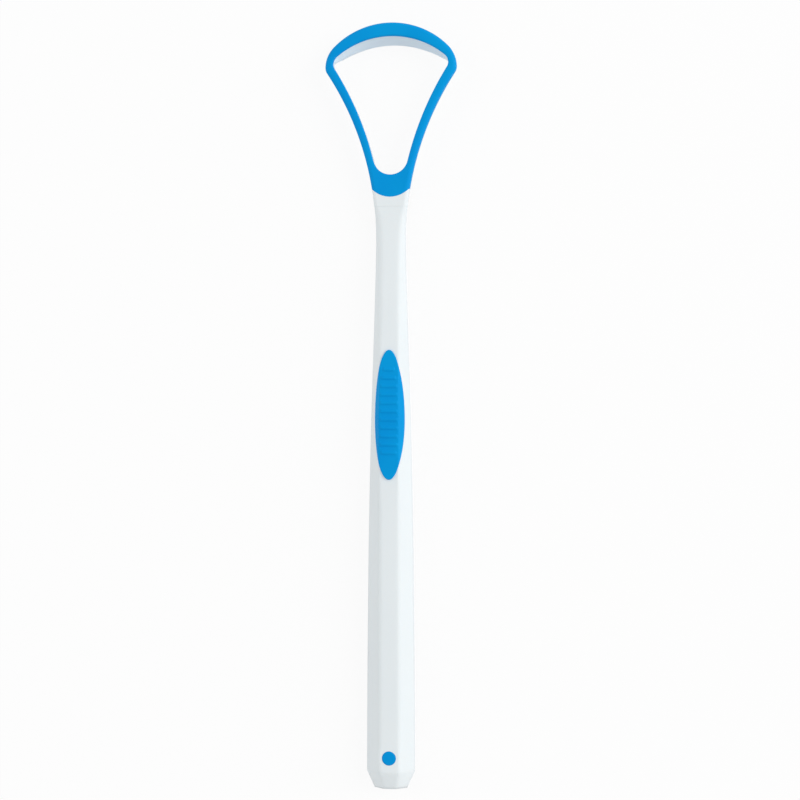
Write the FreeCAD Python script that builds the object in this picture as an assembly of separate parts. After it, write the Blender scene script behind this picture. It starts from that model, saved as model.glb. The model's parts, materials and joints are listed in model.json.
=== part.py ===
import FreeCAD, Part
import math
import os

# A two-material tongue scraper, lying on its back: X across, Y from the butt to the loop, Z up.
# All sizes are in millimetres. "From the butt" and "from the neck" are distances along Y.

# Overall
SHAFT_LENGTH = 115.0        # butt to the narrowest line of the neck
HEAD_LENGTH = 45.0          # narrowest line of the neck to the top of the loop
PLATE_FROM_NECK = 6.5       # where the six-sided handle has become the flat plate of the loop
PLATE_STEP = 0.05           # witness step there, where the handle runs into the plate
SECTION_SPACING = 7.0

# Handle, six-sided with a narrow land along each side
BUTT_WIDTH = 10.1
BELLY_WIDTH = 9.6
BELLY_FROM_BUTT = 44.0
THUMB_WIDTH = 8.35
THUMB_FROM_BUTT = 77.0
WAIST_WIDTH = 6.9
WAIST_FROM_BUTT = 100.0
NECK_WIDTH = 6.25
FRONT_HEIGHT = 3.6          # front facet above the side lands
BACK_DEPTH = 3.5            # back facet below the side lands
WAIST_HEIGHT = 2.8          # both facets, at the waist
FACET_WIDTH = 4.1           # front and back facets
NECK_FACET = 4.75           # which widen towards the neck
LAND_HEIGHT = 0.3
FACET_ROUND = 0.5           # rounding along the edges of the facets
NECK_ROUND = 1.2            # which softens towards the neck
LAND_ROUND = 0.25
REST_SKIM = 0.1             # depth of the flat cut along the back facet, on which the tool lies

# Bevelled butt
BEVEL_LENGTH = 3.5
BEVEL_INSET = 1.6

# Loop, in plan
LOOP_WIDTH = 27.6
ARCH_RISE = 9.3             # widest line of the loop to its top
OUTER_SHOULDER = 6.15
OUTER_CORNER = 2.0
ARCH_BAND = 2.85            # width of the loop's front at the top of its arch
LEG_BAND = 1.47             # and of its legs, where they leave the neck
LEG_SWELL = 2.5             # radius added to the legs' inner arcs, which widens them towards the corners
INNER_SHOULDER = 2.2
INNER_CORNER = 1.6
INNER_CORNER_LIFT = 0.7     # widest line of the opening, above the loop's own
WEB_ROUND = 3.7             # round bottom of the opening

# Loop, in section
LOOP_THICKNESS = 3.0
LOOP_OUTER_ROUND = 0.8
LOOP_INNER_BEVEL = 0.35

# Scraping lip behind the arch
LIP_REACH = 1.35            # how far it slants in towards the handle
LIP_DEPTH = 1.5             # how far it stands behind the back of the loop
LIP_ROOT = 0.9
LIP_EDGE = 0.6
LIP_RUNOUT = 0.5            # above the opening's widest line, where its reach has run out at the sides

# Rubber cover of the loop
COVER_FRONT = 0.9
COVER_SKIRT = 0.45          # thickness on the outer side
COVER_SKIRT_DEPTH = 2.0     # how far the skirt reaches back from the front
COLLAR_FROM_NECK = 8.5      # lowest point of the cover's rounded lower border
COLLAR_DROP = 1.7

# Thumb grip
GRIP_WIDTH = 6.25
GRIP_FROM_BUTT = 76.8       # widest line of the oval
GRIP_UPPER = 14.7           # from there to its upper tip
GRIP_LOWER = 12.3           # and to its lower tip
GRIP_DEPTH = 2.2            # flat floor of its pocket, below the handle's front
GRIP_PROUD = 0.35
GRIP_BEVEL = 0.2            # along the rim that stands out of the pocket
RIB_COUNT = 11
RIB_PITCH = 1.73
RIB_MIDDLE = 1.4            # middle rib, above the oval's widest line
RIB_ROUND = 0.5
RIB_PROUD = 0.25
RIB_LENGTH = 4.0
RIB_END_RUN = 0.15          # slant of a rib's ends
RIB_BORDER = 0.85           # smooth border of the oval that the ribs keep clear of

# End plug
PLUG_DIAMETER = 2.95
PLUG_FROM_BUTT = 6.65
PLUG_PROUD = 0.1
PLUG_BEVEL = 0.15

LENGTH = SHAFT_LENGTH + HEAD_LENGTH
SIDE_LEVEL = BACK_DEPTH - REST_SKIM         # height of the side lands, and of the loop's middle plane
LOOP_FRONT = SIDE_LEVEL + LOOP_THICKNESS / 2
LOOP_BACK = SIDE_LEVEL - LOOP_THICKNESS / 2
COVER_UNDERSIDE = LOOP_FRONT - COVER_FRONT
PLATE_LINE = SHAFT_LENGTH + PLATE_FROM_NECK
PLATE_HEIGHT = LOOP_THICKNESS / 2 - PLATE_STEP
PLATE_CHAMFER = LOOP_OUTER_ROUND * (2 - math.sqrt(2))
PLATE_ROUND = LOOP_OUTER_ROUND - PLATE_STEP
REACH = LENGTH                              # for cutters that pass right through
TOUCH = 1e-4                                # places closer than this are the same


def vec(x, y, z=0.0):
    return FreeCAD.Vector(x, y, z)


def rounded_section(corners, y):
    """Closed wire across the handle at y, from (x, z, rounding) corners in order."""
    edges = []
    for index, (x, z, rounding) in enumerate(corners):
        corner = vec(x, y, z)
        before = vec(corners[index - 1][0], y, corners[index - 1][1])
        after = vec(corners[(index + 1) % len(corners)][0], y, corners[(index + 1) % len(corners)][1])
        inward = (before - corner).normalize()
        outward = (after - corner).normalize()
        half_angle = inward.getAngle(outward) / 2
        start = corner + inward * (rounding / math.tan(half_angle))
        end = corner + outward * (rounding / math.tan(half_angle))
        bisector = (inward + outward).normalize()
        middle = corner + bisector * (rounding / math.sin(half_angle) - rounding)
        edges.append((start, middle, end))
    outline = []
    for index, (start, middle, end) in enumerate(edges):
        previous_end = edges[index - 1][2]
        outline.append(Part.LineSegment(previous_end, start).toShape())
        outline.append(Part.Arc(start, middle, end).toShape())
    return Part.Wire(outline)


def handle_section(from_butt, width, facet, front, back, land, facet_round, land_round):
    """Eight-cornered section: front and back facets, four slanted sides and two narrow side lands."""
    half = width / 2
    corners = [
        (facet / 2, SIDE_LEVEL + front, facet_round),
        (half, SIDE_LEVEL + land / 2, land_round),
        (half, SIDE_LEVEL - land / 2, land_round),
        (facet / 2, SIDE_LEVEL - back, facet_round),
        (-facet / 2, SIDE_LEVEL - back, facet_round),
        (-half, SIDE_LEVEL - land / 2, land_round),
        (-half, SIDE_LEVEL + land / 2, land_round),
        (-facet / 2, SIDE_LEVEL + front, facet_round),
    ]
    return rounded_section(corners, from_butt)


def slope_at(stations, index):
    """Slope of a smooth line at one of its stations: level at the ends and where it turns back."""
    if index in (0, len(stations) - 1):
        return 0.0
    (y0, v0), (y1, v1), (y2, v2) = stations[index - 1:index + 2]
    before = (v1 - v0) / (y1 - y0)
    after = (v2 - v1) / (y2 - y1)
    if before * after <= 0:
        return 0.0
    return 2 * before * after / (before + after)


def smooth(stations, y):
    """Value at y on a smooth line through (y, value) stations, which never overshoots them."""
    index = max(i for i, station in enumerate(stations[:-1]) if i == 0 or station[0] <= y)
    (y0, v0), (y1, v1) = stations[index:index + 2]
    span = y1 - y0
    t = min(max((y - y0) / span, 0.0), 1.0)
    swing = (v1 - v0) * (3 * t ** 2 - 2 * t ** 3)
    lead = slope_at(stations, index) * span * t * (1 - t) ** 2
    trail = slope_at(stations, index + 1) * span * t ** 2 * (1 - t)
    return v0 + swing + lead - trail


def front_height(y):
    """How far the front facet stands above the side lands, at y."""
    fronts = [(THUMB_FROM_BUTT, FRONT_HEIGHT), (WAIST_FROM_BUTT, WAIST_HEIGHT), (PLATE_LINE, PLATE_HEIGHT)]
    return smooth(fronts, y)


def shaft():
    """The tapering handle, from the bevel to the plate of the loop."""
    neck = SHAFT_LENGTH
    plate = PLATE_LINE
    plate_half = leg_half_width(plate) - PLATE_STEP
    widths = [(BEVEL_LENGTH, BUTT_WIDTH), (BELLY_FROM_BUTT, BELLY_WIDTH), (THUMB_FROM_BUTT, THUMB_WIDTH),
              (WAIST_FROM_BUTT, WAIST_WIDTH), (neck, NECK_WIDTH)]
    steps = [(neck, 0.0), (plate, PLATE_STEP)]
    backs = [(THUMB_FROM_BUTT, BACK_DEPTH), (WAIST_FROM_BUTT, WAIST_HEIGHT), (plate, PLATE_HEIGHT)]
    facets = [(THUMB_FROM_BUTT, FACET_WIDTH), (neck, NECK_FACET), (plate, 2 * (plate_half - PLATE_CHAMFER))]
    lands = [(neck, LAND_HEIGHT), (plate, 2 * (PLATE_HEIGHT - PLATE_CHAMFER))]
    facet_rounds = [(THUMB_FROM_BUTT, FACET_ROUND), (neck, NECK_ROUND), (plate, PLATE_ROUND)]
    land_rounds = [(neck, LAND_ROUND), (plate, PLATE_ROUND)]
    count = round((plate - BEVEL_LENGTH) / SECTION_SPACING)
    sections = []
    for index in range(count + 1):
        y = BEVEL_LENGTH + (plate - BEVEL_LENGTH) * index / count
        width = smooth(widths, y) if y < neck else 2 * (leg_half_width(y) - smooth(steps, y))
        sections.append(handle_section(y, width, smooth(facets, y), front_height(y), smooth(backs, y),
                                       smooth(lands, y), smooth(facet_rounds, y), smooth(land_rounds, y)))
    return Part.makeLoft(sections, True, False)


def butt_shoulder():
    return handle_section(BEVEL_LENGTH, BUTT_WIDTH, FACET_WIDTH, FRONT_HEIGHT, BACK_DEPTH,
                          LAND_HEIGHT, FACET_ROUND, LAND_ROUND)


def butt_bevel():
    """The blunt point at the butt, where every facet turns in."""
    end = handle_section(0.0, BUTT_WIDTH - 2 * BEVEL_INSET, FACET_WIDTH - BEVEL_INSET,
                         FRONT_HEIGHT - BEVEL_INSET, BACK_DEPTH - BEVEL_INSET,
                         LAND_HEIGHT, FACET_ROUND, LAND_ROUND)
    return Part.makeLoft([end, butt_shoulder()], True, True)


# The loop's legs are arcs about a centre beside the neck, tangent to the neck and to the corners.
CORNER_LINE = LENGTH - ARCH_RISE
LEG_SPAN = CORNER_LINE - SHAFT_LENGTH
LEG_LEAN = 2 * math.atan((LOOP_WIDTH - NECK_WIDTH) / 2 / LEG_SPAN)
LEG_RADIUS = LEG_SPAN / math.sin(LEG_LEAN) - OUTER_CORNER
LEG_CENTRE = NECK_WIDTH / 2 + LEG_RADIUS


def leg_half_width(y):
    """Half the loop's outer width at y, along the legs."""
    return LEG_CENTRE - math.sqrt(LEG_RADIUS ** 2 - (y - SHAFT_LENGTH) ** 2)


def arc(centre_x, centre_y, radius, start, end):
    """Arc between two angles about a centre in plan."""
    points = []
    for angle in (start, (start + end) / 2, end):
        points.append(vec(centre_x + radius * math.cos(angle), centre_y + radius * math.sin(angle)))
    return Part.Arc(*points).toShape()


def mirrored(edges):
    """The same edges on the other side of the tool, in reverse order."""
    return [edge.mirror(vec(0, 0), vec(1, 0)) for edge in reversed(edges)]


def arch_angle(half_width, rise, shoulder):
    """Half the angle of an arch's top arc, tangent to shoulders that end upright at its widest line."""
    return 2 * math.atan((rise - shoulder) / (half_width - shoulder))


def arch_edges(base, half_width, rise, shoulder, inset=0.0):
    """The right shoulder, the top arc and the left shoulder of an arch over its widest line."""
    angle = arch_angle(half_width, rise, shoulder)
    radius = shoulder + (half_width - shoulder) / math.sin(angle)
    turn = math.pi / 2 - angle
    right = arc(half_width - shoulder, base, shoulder - inset, 0, turn)
    top = arc(0, base + rise - radius, radius - inset, turn, math.pi - turn)
    return [right, top] + mirrored([right])


def outer_face(start, inset=0.0):
    """The loop's outer outline from a line across the neck upwards, drawn in by an inset."""
    radius = LEG_RADIUS + inset
    rise = math.asin((start - SHAFT_LENGTH) / radius)
    leg = arc(LEG_CENTRE, SHAFT_LENGTH, radius, math.pi - rise, math.pi - LEG_LEAN)
    corner = arc(LOOP_WIDTH / 2 - OUTER_CORNER, CORNER_LINE, OUTER_CORNER - inset, -LEG_LEAN, 0)
    half = LEG_CENTRE - radius * math.cos(rise)
    base = Part.LineSegment(vec(-half, start), vec(half, start)).toShape()
    arch = arch_edges(CORNER_LINE, LOOP_WIDTH / 2, ARCH_RISE, OUTER_SHOULDER, inset)
    edges = [base, leg, corner] + arch + mirrored([leg, corner])
    return Part.Face(Part.Wire(edges))


INNER_LEG_RADIUS = LEG_RADIUS + LEG_BAND + LEG_SWELL
INNER_LEG_CENTRE = LEG_CENTRE + LEG_SWELL
INNER_CORNER_LINE = CORNER_LINE + INNER_CORNER_LIFT
INNER_LEAN = math.asin((INNER_CORNER_LINE - SHAFT_LENGTH) / (INNER_LEG_RADIUS + INNER_CORNER))
INNER_HALF = INNER_LEG_CENTRE + INNER_CORNER - (INNER_LEG_RADIUS + INNER_CORNER) * math.cos(INNER_LEAN)
INNER_RISE = LENGTH - ARCH_BAND - INNER_CORNER_LINE


def opening_face():
    """The loop's opening: arch, corners, legs and a round web at the bottom."""
    web_turn = math.acos(INNER_LEG_CENTRE / (INNER_LEG_RADIUS + WEB_ROUND))
    web_centre = SHAFT_LENGTH + (INNER_LEG_RADIUS + WEB_ROUND) * math.sin(web_turn)
    web = arc(0, web_centre, WEB_ROUND, -math.pi + web_turn, -web_turn)
    leg = arc(INNER_LEG_CENTRE, SHAFT_LENGTH, INNER_LEG_RADIUS, math.pi - web_turn, math.pi - INNER_LEAN)
    corner = arc(INNER_HALF - INNER_CORNER, INNER_CORNER_LINE, INNER_CORNER, -INNER_LEAN, 0)
    arch = arch_edges(INNER_CORNER_LINE, INNER_HALF, INNER_RISE, INNER_SHOULDER)
    return Part.Face(Part.Wire([web, leg, corner] + arch + mirrored([leg, corner])))


def prism(face, bottom, top):
    return face.translated(vec(0, 0, bottom)).extrude(vec(0, 0, top - bottom))


def is_level(shape, level):
    """Whether an edge or a face lies flat at one height."""
    box = shape.BoundBox
    return abs(box.ZMin - level) < TOUCH and abs(box.ZMax - level) < TOUCH


def level_edges(solid, level):
    """Edges that lie flat at one height, without the straight one across the neck."""
    return [edge for edge in solid.Edges if is_level(edge, level) and edge.Curve.TypeId != "Part::GeomLine"]


def rim_edges(solid, level):
    """Edges round the holes in the flat faces at one height."""
    edges = []
    for face in solid.Faces:
        if is_level(face, level):
            for wire in face.Wires:
                if not wire.isSame(face.OuterWire):
                    edges += wire.Edges
    return edges


def loop_plate():
    """The whole loop, core and rubber together, rounded outside and bevelled inside."""
    blank = prism(outer_face(PLATE_LINE), LOOP_BACK, LOOP_FRONT)
    outer_edges = level_edges(blank, LOOP_FRONT) + level_edges(blank, LOOP_BACK)
    blank = blank.makeFillet(LOOP_OUTER_ROUND, outer_edges)
    hole = prism(opening_face(), LOOP_BACK - LOOP_THICKNESS, LOOP_FRONT + LOOP_THICKNESS)
    ring = blank.cut(hole)
    return ring.makeChamfer(LOOP_INNER_BEVEL, rim_edges(ring, LOOP_FRONT) + rim_edges(ring, LOOP_BACK))


def lip_profile(radius):
    """Section of the lip with its bevelled edge, at a radius from the axis of its arc."""
    tip = LOOP_BACK - LIP_DEPTH
    inner_edge = radius - LIP_REACH
    outer_edge = inner_edge + LIP_EDGE
    bevel_level = tip + LIP_EDGE / 2
    root = vec(radius + LIP_ROOT, 0, COVER_UNDERSIDE)
    front = vec(radius, 0, COVER_UNDERSIDE)
    inner = vec(inner_edge, 0, bevel_level)
    lowest = vec(inner_edge + LIP_EDGE / 2, 0, tip)
    outer = vec(outer_edge, 0, bevel_level)
    back = vec(radius + LIP_ROOT, 0, LOOP_BACK)
    edges = [
        Part.LineSegment(root, front).toShape(),
        Part.LineSegment(front, inner).toShape(),
        Part.LineSegment(inner, lowest).toShape(),
        Part.LineSegment(lowest, outer).toShape(),
        Part.LineSegment(outer, back).toShape(),
        Part.LineSegment(back, root).toShape(),
    ]
    return Part.Face(Part.Wire(edges))


def lip_arc(centre_x, centre_y, radius, start, turn):
    """Stretch of the lip about an upright axis, from one angle through a turn."""
    profile = lip_profile(radius)
    profile.rotate(vec(0, 0), vec(0, 0, 1), math.degrees(start))
    profile.translate(vec(centre_x, centre_y))
    return profile.revolve(vec(centre_x, centre_y), vec(0, 0, 1), math.degrees(turn))


def scraping_lip():
    """The lip along the arch and its shoulders, scooped away where it ends at the corners."""
    angle = arch_angle(INNER_HALF, INNER_RISE, INNER_SHOULDER)
    top_radius = INNER_SHOULDER + (INNER_HALF - INNER_SHOULDER) / math.sin(angle)
    turn = math.pi / 2 - angle
    shoulder_x = INNER_HALF - INNER_SHOULDER
    top = lip_arc(0, INNER_CORNER_LINE + INNER_RISE - top_radius, top_radius, turn, 2 * angle)
    right = lip_arc(shoulder_x, INNER_CORNER_LINE, INNER_SHOULDER, 0, turn)
    left = lip_arc(-shoulder_x, INNER_CORNER_LINE, INNER_SHOULDER, math.pi - turn, turn)
    scoop_start = vec(-REACH / 2, INNER_CORNER_LINE, LOOP_BACK - LIP_DEPTH)
    scoop = Part.makeCylinder(LIP_DEPTH, REACH, scoop_start, vec(1, 0, 0))
    return top.fuse([right, left]).common(lip_zone()).cut(scoop)


def face_above(half, y, middle):
    """Everything in plan above a line at y, which runs in an arc through a middle point between its ends."""
    left = vec(-half, y)
    right = vec(half, y)
    path = [right, vec(REACH, y), vec(REACH, y + REACH), vec(-REACH, y + REACH), vec(-REACH, y), left]
    edges = [Part.LineSegment(a, b).toShape() for a, b in zip(path, path[1:])]
    edges.append(Part.Arc(left, middle, right).toShape())
    return Part.Face(Part.Wire(edges))


def lip_zone():
    """Everything above an arc from side to side of the opening that touches the middle of the lip."""
    middle = vec(0, INNER_CORNER_LINE + INNER_RISE - LIP_REACH)
    return prism(face_above(INNER_HALF, INNER_CORNER_LINE + LIP_RUNOUT, middle), -REACH, REACH)


def cover_zone():
    """Everything above the collar's rounded lower border."""
    corner = SHAFT_LENGTH + COLLAR_FROM_NECK + COLLAR_DROP
    plan = face_above(leg_half_width(corner), corner, vec(0, corner - COLLAR_DROP))
    return prism(plan, LOOP_FRONT - COVER_SKIRT_DEPTH, LOOP_FRONT + LOOP_THICKNESS)


def loop_cover(plate):
    """Rubber over the front and the outer side of the loop."""
    core_zone = prism(outer_face(PLATE_LINE, COVER_SKIRT), -REACH, COVER_UNDERSIDE)
    return plate.common(cover_zone()).cut(core_zone)


def grip_face():
    """The oval of the thumb grip in plan: two half ellipses."""
    half = GRIP_WIDTH / 2
    upper = Part.Ellipse(vec(0, GRIP_UPPER), vec(half, 0), vec(0, 0))
    lower = Part.Ellipse(vec(0, -GRIP_LOWER), vec(-half, 0), vec(0, 0))
    edges = [
        Part.ArcOfEllipse(upper, -math.pi / 2, math.pi / 2).toShape(),
        Part.ArcOfEllipse(lower, -math.pi / 2, math.pi / 2).toShape(),
    ]
    face = Part.Face(Part.Wire(edges))
    face.translate(vec(0, GRIP_FROM_BUTT))
    return face


def grip_half_width(y):
    """Half the oval's width at y."""
    from_widest = y - GRIP_FROM_BUTT
    reach = GRIP_UPPER if from_widest > 0 else GRIP_LOWER
    return GRIP_WIDTH / 2 * math.sqrt(max(1 - (from_widest / reach) ** 2, 0.0))


def grip_rib(y):
    """One half-round cross rib with slanted ends, standing proud of the pad."""
    half = min(RIB_LENGTH / 2, grip_half_width(y) - RIB_BORDER)
    crest = SIDE_LEVEL + front_height(y) + GRIP_PROUD + RIB_PROUD
    root = crest - 2 * RIB_PROUD
    bar = Part.makeCylinder(RIB_ROUND, REACH, vec(-REACH / 2, y, crest - RIB_ROUND), vec(1, 0, 0))
    crest_half = half - RIB_END_RUN
    root_half = half + RIB_END_RUN
    front = y - RIB_ROUND
    corners = [vec(-root_half, front, root), vec(root_half, front, root),
               vec(crest_half, front, crest), vec(-crest_half, front, crest), vec(-root_half, front, root)]
    ends = Part.Face(Part.makePolygon(corners)).extrude(vec(0, 2 * RIB_ROUND))
    return bar.common(ends)


def thumb_pad(handle):
    """The pad between its pocket's flat floor and the handle's own surface, raised."""
    column = prism(grip_face(), SIDE_LEVEL + FRONT_HEIGHT - GRIP_DEPTH, REACH)
    return column.common(handle.translated(vec(0, 0, GRIP_PROUD)))


def thumb_grip(pad, handle):
    """The pad with the rim that stands out of its pocket bevelled, and its ribs."""
    rim = []
    for edge in pad.Edges:
        middle = edge.valueAt((edge.FirstParameter + edge.LastParameter) / 2)
        on_oval = abs(abs(middle.x) - grip_half_width(middle.y)) < TOUCH
        if on_oval and not handle.isInside(middle, TOUCH, True):
            rim.append(edge)
    first = GRIP_FROM_BUTT + RIB_MIDDLE - RIB_PITCH * (RIB_COUNT - 1) / 2
    ribs = [grip_rib(first + RIB_PITCH * index) for index in range(RIB_COUNT)]
    return pad.makeChamfer(GRIP_BEVEL, rim).fuse(ribs)


def end_plug():
    """Plug through the handle, a little proud in front and a little short behind."""
    front = SIDE_LEVEL + FRONT_HEIGHT + PLUG_PROUD
    plug = Part.makeCylinder(PLUG_DIAMETER / 2, front - PLUG_PROUD, vec(0, PLUG_FROM_BUTT, PLUG_PROUD))
    rims = [edge for edge in plug.Edges if edge.Curve.TypeId == "Part::GeomCircle"]
    return plug.makeChamfer(PLUG_BEVEL, rims)


def save(name, shape):
    """Write one piece with the tool's middle at Y 0."""
    placed = shape.removeSplitter().translated(vec(0, -LENGTH / 2))
    placed.exportStep("parts/%s.step" % name)
    print(name, "valid", placed.isValid(), "solids", len(placed.Solids), "volume", round(placed.Volume, 2))


os.makedirs("parts", exist_ok=True)
handle = shaft()
plate = loop_plate()
cover = loop_cover(plate)
pad = thumb_pad(handle)
plug_hole = Part.makeCylinder(PLUG_DIAMETER / 2, REACH, vec(0, PLUG_FROM_BUTT, -REACH / 2))
below = Part.makeBox(REACH, 2 * REACH, REACH, vec(-REACH / 2, -REACH / 2, -REACH))

core = handle.fuse([butt_bevel(), plate, scraping_lip()])
core = core.cut([cover, pad, plug_hole, below])
save("handle_core", core)
save("loop_cover", cover)
save("thumb_grip", thumb_grip(pad, handle))
save("end_plug", end_plug())
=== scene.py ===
import bpy
import json
import math
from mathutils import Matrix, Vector

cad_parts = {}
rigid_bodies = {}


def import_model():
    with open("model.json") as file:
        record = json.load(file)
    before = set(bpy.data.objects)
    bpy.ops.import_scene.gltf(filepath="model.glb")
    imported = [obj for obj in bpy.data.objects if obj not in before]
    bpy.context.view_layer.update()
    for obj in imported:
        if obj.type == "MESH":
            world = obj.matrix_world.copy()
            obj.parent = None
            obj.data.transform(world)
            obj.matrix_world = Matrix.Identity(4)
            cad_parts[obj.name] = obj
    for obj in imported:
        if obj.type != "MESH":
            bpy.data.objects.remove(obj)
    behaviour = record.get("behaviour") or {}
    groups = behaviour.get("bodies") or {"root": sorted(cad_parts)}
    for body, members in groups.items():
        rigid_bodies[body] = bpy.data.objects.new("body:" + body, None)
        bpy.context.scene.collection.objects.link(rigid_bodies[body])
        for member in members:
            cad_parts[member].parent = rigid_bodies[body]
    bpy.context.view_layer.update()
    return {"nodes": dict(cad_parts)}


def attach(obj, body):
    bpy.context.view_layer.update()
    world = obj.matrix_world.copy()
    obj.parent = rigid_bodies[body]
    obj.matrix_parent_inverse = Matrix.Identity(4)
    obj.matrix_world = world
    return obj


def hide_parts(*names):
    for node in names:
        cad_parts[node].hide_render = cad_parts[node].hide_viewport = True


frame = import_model()

# Handle core: the rigid white moulding, with handle, neck, loop and scraping lip in one shot.
# Satin white plastic out of a two-part mould, whose halves meet along the side lands and leave
# a faint line there. The blue rubber is moulded onto it.
MM = 0.001
SIDE_LANDS = 3.4 * MM               # height of the line where the mould's halves meet
PARTING_HALF = 0.09 * MM            # half the width of that line
PARTING_SHARE = 0.12                # how much of its tint the line takes on
PARTING_TINT = (0.55, 0.6, 0.63, 1)
WHITE_DARK = (0.752, 0.808, 0.832, 1)
WHITE_LIGHT = (0.806, 0.852, 0.868, 1)
ARCH_START = 66.0 * MM              # from here on the lip under the arch is darkened by painted bluish shade, and from here on by its full share
ARCH_FULL = 72.0 * MM               # and from here on by its full share
ARCH_SHADE_SHARE = 0.3
ARCH_SHADE_TINT = (0.51, 0.74, 0.97, 1)
FLOW_STRETCH = (1.0, 0.3, 1.0)      # the plastic flowed along the tool, so its clouds are long
FLOW_SCALE = 110.0
GRAIN_SCALE = 5200.0
GRAIN_HEIGHT = 0.02 * MM
EDGE_ROUND = 1.4 * MM               # how softly the edges between the facets catch the light
SHARP_ROUND = 0.01 * MM             # the same for the edges at the rubber and on the loop
ROUND_GROWTH = 0.8                  # how fast the one passes into the other along the surface
HOLE_LINE = -73.35 * MM             # the plug's hole
HOLE_HALF = 1.48 * MM
POCKET_LINE = -2.0 * MM             # the thumb grip's pocket, taken as a plain oval
POCKET_HALF = 3.15 * MM
POCKET_SQUEEZE = 0.053              # square of that oval's width over its length
PLATE_LINE = 41.5 * MM              # where the handle runs into the plate of the loop
PLASTIC_IOR = 1.49


class Wire:
    """An output of a shader node. Sums on wires add Math nodes to the same tree."""

    def __init__(self, tree, socket=None):
        self.tree = tree
        self.socket = socket

    def add(self, kind, settings=None, inputs=None, output=0):
        """Add a node: first its settings, then its inputs' values or wires. Gives one of its outputs."""
        node = self.tree.nodes.new(kind)
        for name, value in (settings or {}).items():
            setattr(node, name, value)
        for name, value in (inputs or {}).items():
            if isinstance(value, Wire):
                self.tree.links.new(value.socket, node.inputs[name])
            else:
                node.inputs[name].default_value = value
        return Wire(self.tree, node.outputs[output] if len(node.outputs) else None)

    def math(self, operation, first, second=0.0):
        return self.add("ShaderNodeMath", {"operation": operation}, {0: first, 1: second})

    def __add__(self, other):
        return self.math("ADD", self, other)

    def __sub__(self, other):
        return self.math("SUBTRACT", self, other)

    def __rsub__(self, other):
        return self.math("SUBTRACT", other, self)

    def __mul__(self, other):
        return self.math("MULTIPLY", self, other)

    def __abs__(self):
        return self.math("ABSOLUTE", self)

    __radd__ = __add__
    __rmul__ = __mul__


def new_finish(name):
    """An empty material. Gives it with a first wire, from which its nodes are added."""
    finish = bpy.data.materials.new(name)
    finish.use_nodes = True
    finish.node_tree.nodes.clear()
    return finish, Wire(finish.node_tree)


def close_finish(start, shader):
    start.add("ShaderNodeOutputMaterial", None, {"Surface": shader})


def mix_tints(start, share, first, second):
    """The first tint, with a share of the second in it."""
    tint_output = 2
    return start.add("ShaderNodeMix", {"data_type": "RGBA"},
                     {"Factor": share, "A": first, "B": second}, tint_output)


def ease(start, value, low, high):
    """A soft step from 0 at the low value to 1 at the high one."""
    return start.add("ShaderNodeMapRange", {"interpolation_type": "SMOOTHSTEP"},
                     {"Value": value, "From Min": low, "From Max": high})


def beyond_oval(start, across, off_line, half, squeeze=1.0):
    """How far a point lies outside an oval, or a circle, on the tool's middle line."""
    return start.math("SQRT", across * across + squeeze * off_line * off_line) - half


white_plastic, start = new_finish("white_plastic")
place = start.add("ShaderNodeTexCoord", None, None, "Object")
across, length, height = (start.add("ShaderNodeSeparateXYZ", None, {0: place}, axis) for axis in "XYZ")
along = start.add("ShaderNodeMapping", None, {"Vector": place, "Scale": FLOW_STRETCH})
flow = start.add("ShaderNodeTexNoise", None, {
    "Vector": along, "Scale": FLOW_SCALE, "Detail": 3.0, "Roughness": 0.55})
grain = start.add("ShaderNodeTexNoise", None, {"Vector": place, "Scale": GRAIN_SCALE, "Detail": 2.0})
parting_line = 1 - ease(start, abs(height - SIDE_LANDS), 0.0, PARTING_HALF)
# Painted shade: the lip under the arch, where less light reaches, is darkened towards blue.
painted_arch_shade = ease(start, length, ARCH_START, ARCH_FULL)
tint = mix_tints(start, flow, WHITE_DARK, WHITE_LIGHT)
# The painted bluish shade is mixed into the white here.
tint = mix_tints(start, ARCH_SHADE_SHARE * painted_arch_shade, tint, ARCH_SHADE_TINT)
tint = mix_tints(start, PARTING_SHARE * parting_line, tint, PARTING_TINT)

# The edges between the facets look soft. They get sharper towards the hole, the pocket and the plate.
from_hole = beyond_oval(start, across, length - HOLE_LINE, HOLE_HALF)
from_pocket = beyond_oval(start, across, length - POCKET_LINE, POCKET_HALF, POCKET_SQUEEZE)
from_rubber = start.math("MINIMUM", from_hole, from_pocket)
from_sharp = start.math("MINIMUM", from_rubber, PLATE_LINE - length)
rounding = start.math("MINIMUM", ROUND_GROWTH * from_sharp, EDGE_ROUND)
soft_edges = start.add("ShaderNodeBevel", {"samples": 8},
                       {"Radius": start.math("MAXIMUM", rounding, SHARP_ROUND)})
relief = start.add("ShaderNodeBump", None, {
    "Strength": 0.25, "Distance": GRAIN_HEIGHT,
    "Height": 0.35 * grain + 1.5 * parting_line, "Normal": soft_edges})
close_finish(start, start.add("ShaderNodeBsdfPrincipled", None, {
    "Base Color": tint, "Roughness": 0.44 + 0.12 * flow, "Normal": relief, "IOR": PLASTIC_IOR,
    "Subsurface Weight": 0.06, "Subsurface Radius": (1.2 * MM, 1.0 * MM, 0.9 * MM)}))
frame["nodes"]["handle_core"].material_slots[0].material = white_plastic

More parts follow.
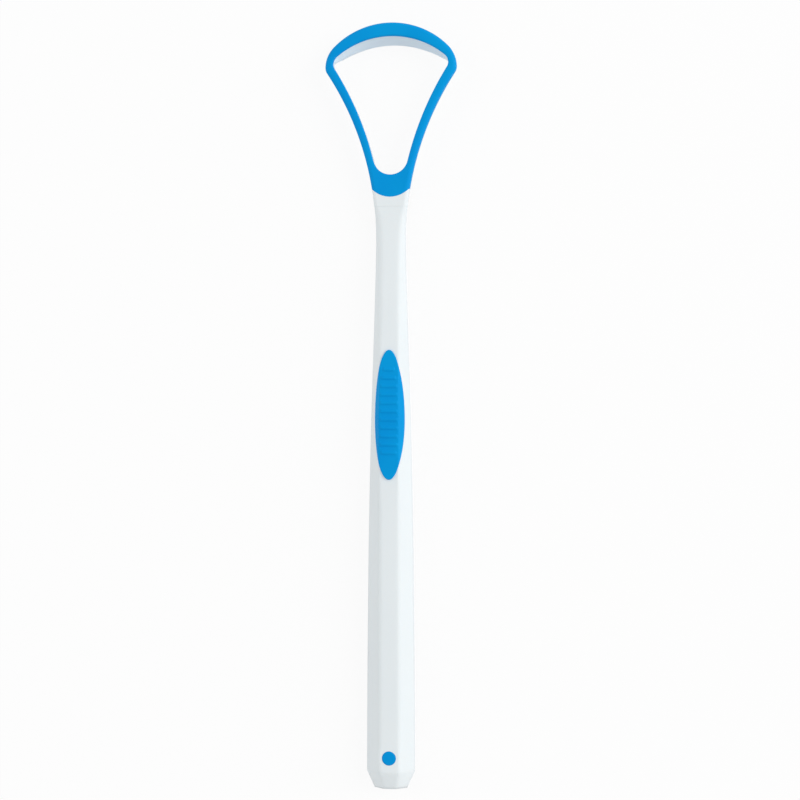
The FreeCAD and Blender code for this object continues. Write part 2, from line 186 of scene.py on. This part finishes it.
# Loop cover: soft blue rubber over the front and the outer side of the loop, with a rounded collar
# on the neck. It is moulded straight onto the white loop in a second shot, so nothing fixes it.
NECK = 35.0                         # narrowest line of the neck, along the tool (mm, as all sizes below)
TOP = 80.0
NECK_WIDTH = 6.25
LOOP_WIDTH = 27.6
CORNERS = 70.7                      # the loop's widest line
OUTER_SHOULDER = 6.15
OUTER_CORNER = 2.0
ARCH_BAND = 2.85
LEG_BAND = 1.47
LEG_SWELL = 2.5
INNER_CORNERS = 71.4                # the opening's widest line
INNER_SHOULDER = 2.2
INNER_CORNER = 1.6
WEB_ROUND = 3.7
COLLAR_ENDS = 45.2
COLLAR_DROP = 1.7
COLLAR_MARGIN = 0.06                # sets the collar's ends apart from what lies between them
COVER_FRONT = 4.9
COVER_UNDERSIDE = 4.0
SKIRT_END = 2.9
SKIRT = 0.45
SKIRT_FOOT = 0.1                    # bevel along the skirt's lower edge
COVER_ROUND = 0.8
COVER_ROUND_ANGLES = (0, 18, 36, 54, 72, 90)
COVER_INNER_ROUND = 0.35
COVER_INNER_ANGLES = (0, 30, 60, 90)
COLLAR_STEPS, LEG_STEPS, CORNER_STEPS, SHOULDER_STEPS, ARCH_STEPS = 12, 30, 6, 12, 24
MEETING_STEPS = 20                  # rounds of trial for the point where collar and leg meet

LEG_LEAN = 2 * math.atan((LOOP_WIDTH - NECK_WIDTH) / 2 / (CORNERS - NECK))
LEG_RADIUS = (CORNERS - NECK) / math.sin(LEG_LEAN) - OUTER_CORNER
LEG_CENTRE = NECK_WIDTH / 2 + LEG_RADIUS
INNER_LEG_RADIUS = LEG_RADIUS + LEG_BAND + LEG_SWELL
INNER_LEG_CENTRE = LEG_CENTRE + LEG_SWELL
INNER_LEAN = math.asin((INNER_CORNERS - NECK) / (INNER_LEG_RADIUS + INNER_CORNER))
INNER_HALF = INNER_LEG_CENTRE + INNER_CORNER - (INNER_LEG_RADIUS + INNER_CORNER) * math.cos(INNER_LEAN)
COLLAR_HALF = LEG_CENTRE - math.sqrt(LEG_RADIUS ** 2 - (COLLAR_ENDS - NECK) ** 2)
COLLAR_RADIUS = (COLLAR_HALF ** 2 + COLLAR_DROP ** 2) / (2 * COLLAR_DROP)
COLLAR_CENTRE = COLLAR_ENDS - COLLAR_DROP + COLLAR_RADIUS


def start_line(y, level):
    """Begin a new line on the tool's middle plane: a small plane, merged into one vertex."""
    bpy.ops.mesh.primitive_plane_add(size=MM, location=(0, y * MM, level * MM))
    bpy.ops.mesh.merge(type="CENTER")


def spin_line(x, y, turn, steps):
    """Carry the line on from its last vertex, in an arc about an upright axis."""
    bpy.ops.mesh.spin(steps=steps, angle=turn, center=(x * MM, y * MM, 0), axis=(0, 0, -1))


def spin_arch(corners, half, rise, shoulder):
    """Carry the line on over the shoulder and up to the middle of the arch."""
    angle = 2 * math.atan((rise - shoulder) / (half - shoulder))
    radius = shoulder + (half - shoulder) / math.sin(angle)
    spin_line(half - shoulder, corners, math.pi / 2 - angle, SHOULDER_STEPS)
    spin_line(0, corners + rise - radius, angle, ARCH_STEPS)


def outer_line(inset, level):
    """Half of the cover's outer outline, drawn in by an inset: collar, leg, corner, shoulder, arch."""
    radius = LEG_RADIUS + inset
    y = COLLAR_ENDS
    for step in range(MEETING_STEPS):
        x = LEG_CENTRE - math.sqrt(radius ** 2 - (y - NECK) ** 2)
        y = COLLAR_CENTRE - math.sqrt(COLLAR_RADIUS ** 2 - x ** 2)
    start_line(COLLAR_CENTRE - COLLAR_RADIUS, level)
    spin_line(0, COLLAR_CENTRE, math.asin(x / COLLAR_RADIUS), COLLAR_STEPS)
    spin_line(LEG_CENTRE, NECK, math.asin((y - NECK) / radius) - LEG_LEAN, LEG_STEPS)
    spin_line(LOOP_WIDTH / 2 - OUTER_CORNER, CORNERS, LEG_LEAN, CORNER_STEPS)
    spin_arch(CORNERS, LOOP_WIDTH / 2, TOP - CORNERS, OUTER_SHOULDER)


def inner_line(offset, level):
    """Half of the opening's outline, widened by an offset: web, leg, corner, shoulder, arch."""
    turn = math.acos(INNER_LEG_CENTRE / (INNER_LEG_RADIUS + WEB_ROUND))
    web = NECK + (INNER_LEG_RADIUS + WEB_ROUND) * math.sin(turn)
    start_line(web - WEB_ROUND - offset, level)
    spin_line(0, web, math.pi / 2 - turn, COLLAR_STEPS)
    spin_line(INNER_LEG_CENTRE, NECK, turn - INNER_LEAN, LEG_STEPS)
    spin_line(INNER_HALF - INNER_CORNER, INNER_CORNERS, INNER_LEAN, CORNER_STEPS)
    spin_arch(INNER_CORNERS, INNER_HALF, TOP - ARCH_BAND - INNER_CORNERS, INNER_SHOULDER)


bpy.ops.object.select_all(action="DESELECT")
bpy.ops.mesh.primitive_plane_add(size=MM)
cover = bpy.context.object
cover.name = "soft_loop_cover"
bpy.ops.object.mode_set(mode="EDIT")
bpy.ops.mesh.delete(type="VERT")

# The lines round the section: up the skirt, over the rounded rim, across the front, down the
# opening's wall and back along the underside.
section = [(outer_line, SKIRT, SKIRT_END), (outer_line, SKIRT_FOOT, SKIRT_END),
           (outer_line, 0.0, SKIRT_END + SKIRT_FOOT)]
for degrees in COVER_ROUND_ANGLES:
    angle = math.radians(degrees)
    section.append((outer_line, COVER_ROUND * (1 - math.cos(angle)),
                    COVER_FRONT - COVER_ROUND * (1 - math.sin(angle))))
for degrees in COVER_INNER_ANGLES:
    angle = math.radians(degrees)
    section.append((inner_line, COVER_INNER_ROUND * (1 - math.sin(angle)),
                    COVER_FRONT - COVER_INNER_ROUND * (1 - math.cos(angle))))
section += [(inner_line, 0.0, COVER_UNDERSIDE), (outer_line, SKIRT, COVER_UNDERSIDE)]
for line, offset, level in section:
    line(offset, level)
    bpy.ops.mesh.select_linked()
    cover.vertex_groups.new(name="line")
    bpy.ops.object.vertex_group_assign()
for index in range(len(section)):
    bpy.ops.mesh.select_all(action="DESELECT")
    for line in (index, (index + 1) % len(section)):
        cover.vertex_groups.active_index = line
        bpy.ops.object.vertex_group_select()
    bpy.ops.mesh.bridge_edge_loops()
bpy.ops.object.mode_set(mode="OBJECT")
cover.vertex_groups.clear()


def select_vertices(piece, test):
    """Select a piece's vertices by their place in mm, and nothing else. Ends in edit mode."""
    bpy.ops.object.mode_set(mode="EDIT")
    bpy.ops.mesh.select_mode(type="VERT")
    bpy.ops.mesh.select_all(action="DESELECT")
    bpy.ops.object.mode_set(mode="OBJECT")
    for vertex in piece.data.vertices:
        vertex.select = test(*(vertex.co / MM))
    bpy.ops.object.mode_set(mode="EDIT")


# Between its two ends the collar has no skirt: its lower edge lies in the core's step.
select_vertices(cover, lambda x, y, z: (y < COLLAR_ENDS - COLLAR_MARGIN and x < COLLAR_HALF - SKIRT
                                        and z < COVER_UNDERSIDE))
bpy.ops.transform.resize(value=(1, 1, 0), center_override=(0, 0, COVER_UNDERSIDE * MM))
bpy.ops.object.mode_set(mode="OBJECT")
bpy.ops.object.modifier_add(type="MIRROR")
cover.modifiers["Mirror"].merge_threshold = 0.001 * MM
bpy.ops.object.modifier_apply(modifier="Mirror")


def close_skin(piece):
    """Merge a piece's seams, turn its faces outwards and smooth all but its sharp edges."""
    seam = 0.002 * MM
    bpy.ops.object.mode_set(mode="EDIT")
    bpy.ops.mesh.select_all(action="SELECT")
    bpy.ops.mesh.remove_doubles(threshold=seam)
    bpy.ops.mesh.dissolve_degenerate(threshold=seam)
    bpy.ops.mesh.normals_make_consistent(inside=False)
    bpy.ops.object.mode_set(mode="OBJECT")
    bpy.ops.object.shade_smooth_by_angle(angle=math.radians(35))


close_skin(cover)

BLUE_DARK = (0.0003, 0.28, 0.685, 1)
BLUE_LIGHT = (0.0005, 0.322, 0.715, 1)
CLOUD_SCALE = 75.0


def blue_rubber(name, grain_scale, grain_depth):
    """Bright blue rubber: slightly uneven colour, and the fine matt grain of an etched mould."""
    rubber, start = new_finish(name)
    place = start.add("ShaderNodeTexCoord", None, None, "Object")
    cloud = start.add("ShaderNodeTexNoise", None, {"Vector": place, "Scale": CLOUD_SCALE, "Detail": 2.0})
    tint = mix_tints(start, ease(start, cloud, 0.3, 0.7), BLUE_DARK, BLUE_LIGHT)
    grain = start.add("ShaderNodeTexNoise", None, {"Vector": place, "Scale": grain_scale, "Detail": 3.0})
    relief = start.add("ShaderNodeBump", None, {
        "Strength": 0.3, "Distance": grain_depth * MM, "Height": grain})
    close_finish(start, start.add("ShaderNodeBsdfPrincipled", None, {
        "Base Color": tint, "Roughness": 0.44 + 0.14 * grain, "Normal": relief,
        "Specular IOR Level": 0.05}))
    return rubber


cover.data.materials.append(blue_rubber("cover_rubber", 4200.0, 0.03))
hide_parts("loop_cover")
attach(cover, "root")

# Thumb grip: the oval blue pad in a pocket of the handle's front, with eleven soft cross ribs.
# The same rubber, moulded in the second shot; it wraps over the edges of the front facet.
GRIP_LINE = -3.2                    # widest line of the oval, along the tool
GRIP_HALF = 3.125
GRIP_UPPER = 14.7
GRIP_LOWER = 12.3
GRIP_SIDES = 160                    # sides of the oval's mesh
GRIP_FLOOR = 4.8
GRIP_FRONT = 7.35
GRIP_BLOCK = 3.0                    # height of the block that the pad is cut from
LEVEL_RUN = 0.2                     # above its widest line the pad's front runs level for so long,
FIRST_RUN, FIRST_FALL = 7.0, 0.11   # then falls by so much over this run,
SECOND_RUN, SECOND_FALL = 7.5, 0.29  # and then more steeply to its tip
SLOPE_GAIN = 0.023                  # by how much the second slope is steeper
FACET_HALF = 2.05
FACET_RUN, FACET_FALL, FACET_DRAW = 11.0, 0.23, 0.1     # the front facet's edges fall and draw in upwards
LANDS_LEVEL = 3.9                   # level of the side lands, raised as the pad is
HANDLE_HALF = 4.175                 # half the handle's width at the widest line of the oval
RIB_COUNT = 11
RIB_PITCH = 1.73
RIB_MIDDLE = -1.25                  # line of the middle rib
RIB_ROUND = 0.5
RIB_CREST = 0.25
RIB_HALF = 2.0
RIB_BORDER = 0.85
VOXEL = 0.1
NEAR = 0.001                        # what lies closer than this to a line or level is on it

bpy.ops.object.select_all(action="DESELECT")
bpy.ops.mesh.primitive_cylinder_add(vertices=GRIP_SIDES, radius=GRIP_HALF * MM, depth=GRIP_BLOCK * MM,
                                    location=(0, GRIP_LINE * MM, (GRIP_FLOOR + GRIP_BLOCK / 2) * MM))
grip = bpy.context.object
grip.name = "soft_thumb_grip"
bpy.ops.object.transform_apply(location=True, rotation=False, scale=False)
for reach, side in ((GRIP_UPPER, 1), (GRIP_LOWER, -1)):
    select_vertices(grip, lambda x, y, z: (y - GRIP_LINE) * side > NEAR)
    bpy.ops.transform.resize(value=(1, reach / GRIP_HALF, 1), center_override=(0, GRIP_LINE * MM, 0))


def cut_pad(point, across, along):
    """Cut away what stands in front of a plane, given by a point and two directions in it (mm)."""
    normal = Vector(across).cross(Vector(along)).normalized()
    if normal.z < 0:
        normal.negate()
    bpy.ops.mesh.select_all(action="SELECT")
    bpy.ops.mesh.bisect(plane_co=[part * MM for part in point], plane_no=normal,
                        use_fill=True, clear_outer=True, threshold=1e-8)


# The pad follows the handle's own facets, which fall away towards the neck.
first_slope = GRIP_LINE + LEVEL_RUN
second_slope = first_slope + FIRST_RUN
cut_pad((0, GRIP_LINE, GRIP_FRONT), (1, 0, 0), (0, 1, 0))
cut_pad((0, first_slope, GRIP_FRONT), (1, 0, 0), (0, FIRST_RUN, -FIRST_FALL))
cut_pad((0, second_slope, GRIP_FRONT - FIRST_FALL), (1, 0, 0), (0, SECOND_RUN, -SECOND_FALL))
for side in (-1, 1):
    edge = (side * FACET_HALF, GRIP_LINE, GRIP_FRONT)
    facet = (side * (HANDLE_HALF - FACET_HALF), 0, LANDS_LEVEL - GRIP_FRONT)
    cut_pad(edge, facet, (0, 1, 0))
    cut_pad(edge, facet, (side * -FACET_DRAW, FACET_RUN, -FACET_FALL))
bpy.ops.object.mode_set(mode="OBJECT")

# One rib, a bar with round ends, is copied along the pad. Each copy is as long as the oval allows.
bpy.ops.object.select_all(action="DESELECT")
bpy.ops.mesh.primitive_uv_sphere_add(
    segments=32, ring_count=16, radius=RIB_ROUND * MM, rotation=(0, math.pi / 2, 0),
    location=(0, RIB_MIDDLE * MM, (GRIP_FRONT + RIB_CREST - RIB_ROUND) * MM))
rib = bpy.context.object
bpy.ops.object.transform_apply(location=True, rotation=True, scale=False)
for side in (-1, 1):
    select_vertices(rib, lambda x, y, z: x * side > NEAR)
    bpy.ops.transform.translate(value=(side * (RIB_HALF - RIB_ROUND) * MM, 0, 0))
bpy.ops.object.mode_set(mode="OBJECT")
ribs = [rib]
while len(ribs) < RIB_COUNT:
    bpy.ops.object.duplicate(linked=False)
    ribs.append(bpy.context.object)
for index, rib in enumerate(ribs):
    from_middle = (index - (RIB_COUNT - 1) / 2) * RIB_PITCH
    from_line = RIB_MIDDLE + from_middle - GRIP_LINE
    reach = GRIP_UPPER if from_line > 0 else GRIP_LOWER
    half = min(RIB_HALF, GRIP_HALF * math.sqrt(1 - (from_line / reach) ** 2) - RIB_BORDER)
    fall = (max(0, from_line - LEVEL_RUN) * FIRST_FALL / FIRST_RUN
            + max(0, from_line - LEVEL_RUN - FIRST_RUN) * SLOPE_GAIN)
    rib.location = (0, from_middle * MM, -fall * MM)
    rib.scale = (half / RIB_HALF, 1, 1)
    rib.select_set(True)
grip.select_set(True)
bpy.context.view_layer.objects.active = grip
bpy.ops.object.join()

# Remeshing makes pad and ribs one skin, and smoothing rounds the corners between them.
bpy.ops.object.modifier_add(type="REMESH")
grip.modifiers["Remesh"].mode = "VOXEL"
grip.modifiers["Remesh"].voxel_size = VOXEL * MM
bpy.ops.object.modifier_apply(modifier="Remesh")
bpy.ops.object.modifier_add(type="SMOOTH")
grip.modifiers["Smooth"].factor = 0.5
grip.modifiers["Smooth"].iterations = 6
bpy.ops.object.modifier_apply(modifier="Smooth")
bpy.ops.object.shade_smooth()
grip.data.materials.append(blue_rubber("grip_rubber", 5200.0, 0.04))
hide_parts("thumb_grip")
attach(grip, "root")

# End plug: the round blue plug that fills the hole near the butt, flush behind and just proud in front.
# The same rubber, moulded right through the handle, so its own grip holds it.
PLUG_LINE = -73.35
PLUG_HALF = 1.475
PLUG_SIDES = 64
PLUG_BACK = 0.1
PLUG_FRONT = 7.1
PLUG_ROUND = 0.22
PLUG_RINGS = (0.3, 0.35)            # widths of the rings of faces inside its rims

bpy.ops.object.select_all(action="DESELECT")
bpy.ops.mesh.primitive_cylinder_add(
    vertices=PLUG_SIDES, radius=PLUG_HALF * MM, depth=(PLUG_FRONT - PLUG_BACK) * MM,
    location=(0, PLUG_LINE * MM, (PLUG_FRONT + PLUG_BACK) / 2 * MM))
plug = bpy.context.object
plug.name = "soft_end_plug"
bpy.ops.object.transform_apply(location=True, rotation=False, scale=False)
for level in (PLUG_BACK, PLUG_FRONT):
    select_vertices(plug, lambda x, y, z: abs(z - level) < NEAR)
    bpy.ops.mesh.bevel(offset=PLUG_ROUND * MM, segments=6, affect="EDGES")
    bpy.ops.mesh.select_mode(type="FACE")
    bpy.ops.object.mode_set(mode="OBJECT")
    for face in plug.data.polygons:
        face.select = abs(face.center.z / MM - level) < NEAR
    bpy.ops.object.mode_set(mode="EDIT")
    for ring in PLUG_RINGS:
        bpy.ops.mesh.inset(thickness=ring * MM)
bpy.ops.object.mode_set(mode="OBJECT")
close_skin(plug)
plug.data.materials.append(blue_rubber("plug_rubber", 4200.0, 0.03))
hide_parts("end_plug")
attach(plug, "root")

# Studio: a pale floor under the tool, soft light from all round, a large lamp on the right
# and a weak one on the left. The floor shows white behind the tool and keeps its soft shadow.
FLOOR_SIZE = 4.0                    # m, as the lamps' sizes and places
FLOOR_TINT = (0.9, 0.9, 0.9, 1)
FLOOR_WHITE = 0.88                  # how much of the floor is plain white where it is seen
WHITE = (1, 1, 1, 1)
SKY_STRENGTH = 0.7                  # light from all round; where the sky itself is seen, it is white
LAMPS = (("key_lamp", 1, 13.5), ("fill_lamp", -1, 4.1))     # name, side of the tool, watts
LAMP_ASIDE, LAMP_AHEAD, LAMP_HEIGHT = 1.41, 0.4, 0.81
LAMP_SIZE = (0.92, 1.54)


def seen_rays(start):
    """1 where the camera looks, straight, by way of a reflection or through something clear."""
    camera_ray, glossy_ray, through_ray = (
        start.add("ShaderNodeLightPath", None, None, ray)
        for ray in ("Is Camera Ray", "Is Glossy Ray", "Is Transmission Ray"))
    return camera_ray + glossy_ray + through_ray


bpy.ops.object.select_all(action="DESELECT")
bpy.ops.mesh.primitive_plane_add(size=FLOOR_SIZE, location=(0, 0, 0))
floor = bpy.context.object
floor.name = "floor"
floor_paint, start = new_finish("floor_paint")
paint = start.add("ShaderNodeBsdfDiffuse", None, {"Color": FLOOR_TINT})
white = start.add("ShaderNodeEmission", None, {"Color": WHITE, "Strength": 1.0})
close_finish(start, start.add("ShaderNodeMixShader", None, {
    0: FLOOR_WHITE * seen_rays(start), 1: paint, 2: white}))
floor.data.materials.append(floor_paint)

world = bpy.data.worlds.new("studio")
bpy.context.scene.world = world
world.use_nodes = True
world.node_tree.nodes.clear()
start = Wire(world.node_tree)
sky = start.add("ShaderNodeBackground", None, {
    "Color": WHITE, "Strength": SKY_STRENGTH + (1 - SKY_STRENGTH) * seen_rays(start)})
start.add("ShaderNodeOutputWorld", None, {"Surface": sky})

for name, side, energy in LAMPS:
    place = Vector((side * LAMP_ASIDE, LAMP_AHEAD, LAMP_HEIGHT))
    bpy.ops.object.light_add(type="AREA", location=place)
    lamp = bpy.context.object
    lamp.name = name
    lamp.rotation_euler = (-place).to_track_quat("-Z", "Y").to_euler()
    lamp.data.shape = "RECTANGLE"
    lamp.data.size, lamp.data.size_y = LAMP_SIZE
    lamp.data.energy = energy

# Camera: it looks down on the tool's front, turned 7 degrees to the tool's right side,
# from so far that the tool fills the height of a square picture.
CAMERA_PLACE = (50.45 * MM, 1.07 * MM, 398.9 * MM)
CAMERA_TURN = math.radians(7)
CAMERA_LENS = 85.66

bpy.ops.object.camera_add(location=CAMERA_PLACE, rotation=(0, CAMERA_TURN, 0))
camera = bpy.context.object
camera.data.sensor_width = 36.0
camera.data.lens = CAMERA_LENS
bpy.context.scene.camera = camera
bpy.context.scene.view_settings.view_transform = "Standard"
